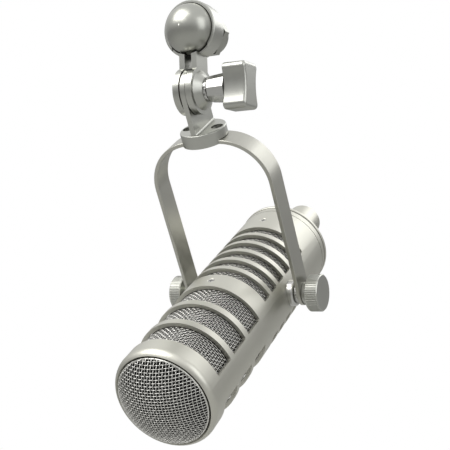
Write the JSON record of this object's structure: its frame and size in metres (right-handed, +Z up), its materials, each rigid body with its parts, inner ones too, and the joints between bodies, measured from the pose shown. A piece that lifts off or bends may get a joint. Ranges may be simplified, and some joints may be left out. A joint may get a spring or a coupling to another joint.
{
  "type": "ribbon microphone",
  "caption": "Slotted tubular microphone with a woven domed front, held in a U yoke under a clamped swivel hinge and ball mount with a stand thread.",
  "frame": {"origin": "centre of the mouth of the stand thread in the ball mount", "axes": "+Y out of the stand thread, +X along the swivel hinge towards the wing knob, +Z up as it hangs"},
  "size_m": [0.1028, 0.228, 0.2504],
  "materials": {
    "satin_nickel": "fine bead-blasted satin nickel, warm champagne tone",
    "satin_cast": "satin nickel over fine cast surface, slightly glossier",
    "brushed_nickel": "fine lengthwise brushed nickel plate",
    "bright_chrome": "polished chrome plate with fine lathe marks",
    "polished_ball": "semi-polished nickel plate",
    "woven_steel": "bright woven stainless wire",
    "black_foam": "open-cell acoustic foam",
    "magnet_grey": "nickel-plated sintered magnet",
    "soft_iron": "machined zinc-plated soft iron",
    "ribbon_foil": "thin corrugated aluminium foil",
    "brass_parts": "machined brass",
    "black_plastic": "fine-grained moulded plastic",
    "black_rubber": "matt nitrile rubber",
    "grey_felt": "pressed wool felt",
    "copper_wire": "enamelled copper winding",
    "board_laminate": "phenolic paper laminate",
    "lead_insulation": "smooth insulated wire",
    "fibre_washer": "dark fibre washer"
  },
  "bodies": {
    "stand": {"stand_ball": "polished_ball"},
    "liner_rear": {"ball_liner_rear": "black_plastic"},
    "liner_front": {"ball_liner_front": "black_plastic"},
    "clamp": {"ball_clamp": "satin_cast", "retaining_ring": "satin_cast", "clamp_bolt": "bright_chrome", "star_washer": "bright_chrome"},
    "wing": {"wing_collar": "bright_chrome", "wing_knob": "satin_cast"},
    "yoke": {"tongue_flange": "satin_cast", "flange_screws": "bright_chrome", "hinge_washers": "fibre_washer", "yoke_strap": "brushed_nickel"},
    "microphone": {"housing_tube": "satin_nickel", "housing_screws": "bright_chrome", "front_grille": "woven_steel", "front_sleeve": "woven_steel", "rear_sleeve": "woven_steel", "grille_clamp_ring": "black_plastic", "pop_foam": "black_foam", "foam_lining": "black_foam", "motor_frame": "soft_iron", "magnet_left": "magnet_grey", "magnet_right": "magnet_grey", "pole_piece_left": "soft_iron", "pole_piece_right": "soft_iron", "ribbon": "ribbon_foil", "ribbon_clamps": "brass_parts", "clamp_screws": "brass_parts", "motor_screens": "brass_parts", "motor_cradle": "black_plastic", "shock_rings": "black_rubber", "bulkhead": "black_plastic", "acoustic_cup": "black_plastic", "damping_felt": "grey_felt", "transformer_can": "soft_iron", "transformer_core": "soft_iron", "transformer_coil": "copper_wire", "terminal_board": "board_laminate", "terminal_posts": "brass_parts", "motor_leads": "lead_insulation", "coil_leads": "lead_insulation", "connector_leads": "lead_insulation", "tail_gasket": "black_rubber", "tail_cap": "satin_nickel", "connector_barrel": "satin_nickel", "connector_insert": "black_plastic", "connector_pins": "brass_parts", "tail_screws": "bright_chrome", "pivot_bush_left": "brass_parts", "pivot_bush_right": "brass_parts", "saddle_spacer_left": "bright_chrome", "saddle_spacer_right": "bright_chrome", "pivot_washer_left": "bright_chrome", "pivot_washer_right": "bright_chrome"},
    "knob_left": {"thumb_knob_left": "satin_cast", "knob_stud_left": "bright_chrome"},
    "knob_right": {"thumb_knob_right": "satin_cast", "knob_stud_right": "bright_chrome"}
  },
  "joints": [
    {"name": "ball_roll", "type": "hinge", "parent": "stand", "child": "liner_rear", "pos_m": [0, -0.027, 0], "axis": [0, 1, 0], "continuous": true},
    {"name": "ball_pan", "type": "hinge", "parent": "liner_rear", "child": "liner_front", "pos_m": [0, -0.027, 0], "axis": [0, 0, 1], "range_deg": [-6, 6]},
    {"name": "ball_tilt", "type": "hinge", "parent": "liner_front", "child": "clamp", "pos_m": [0, -0.027, 0], "axis": [1, 0, 0], "range_deg": [-6, 6]},
    {"name": "wing_turn", "type": "hinge", "parent": "clamp", "child": "wing", "pos_m": [0, -0.027, -0.036], "axis": [1, 0, 0], "range_deg": [0, 270]},
    {"name": "yoke_swing", "type": "hinge", "parent": "clamp", "child": "yoke", "pos_m": [0, -0.027, -0.036], "axis": [1, 0, 0], "range_deg": [-117, 62]},
    {"name": "body_pitch", "type": "hinge", "parent": "yoke", "child": "microphone", "pos_m": [0, 0.03687, -0.15663], "axis": [1, 0, 0], "range_deg": [-47, 53]},
    {"name": "left_knob_turn", "type": "hinge", "parent": "microphone", "child": "knob_left", "pos_m": [0, 0.03687, -0.15663], "axis": [-1, 0, 0], "range_deg": [0, 270]},
    {"name": "right_knob_turn", "type": "hinge", "parent": "microphone", "child": "knob_right", "pos_m": [0, 0.03687, -0.15663], "axis": [1, 0, 0], "range_deg": [0, 270]}
  ]
}
